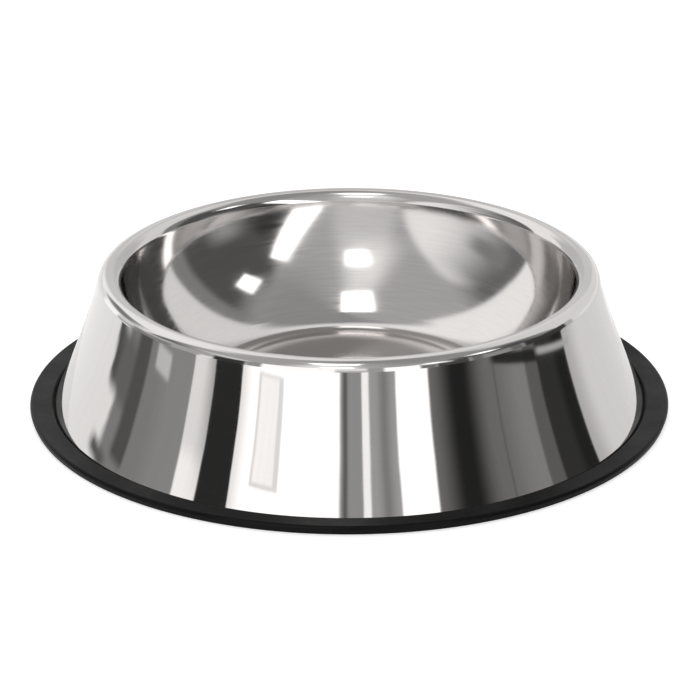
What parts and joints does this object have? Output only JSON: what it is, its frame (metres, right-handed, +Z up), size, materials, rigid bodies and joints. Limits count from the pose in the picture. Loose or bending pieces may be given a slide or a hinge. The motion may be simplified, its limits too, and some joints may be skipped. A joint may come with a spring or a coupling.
{
  "type": "non-tip dog bowl",
  "caption": "Round non-tip feeding bowl: polished steel dish with a rolled rim and a skirt that flares to a wide foot, held in a black rubber anti-slip ring.",
  "frame": {"origin": "on the floor, on the bowl's axis, under the middle of the rubber ring", "axes": "+Z up along the bowl's axis, out of the dish; the bowl is round, so +X and +Y are any two directions across it"},
  "size_m": [0.26, 0.26, 0.0573],
  "materials": {
    "stainless_steel": "mirror polish on the skirt and rim, fine circular satin lines inside the dish",
    "black_rubber": "satin moulded rubber"
  },
  "bodies": {
    "root": {"steel_bowl": "stainless_steel", "rubber_ring": "black_rubber"}
  },
  "joints": []
}
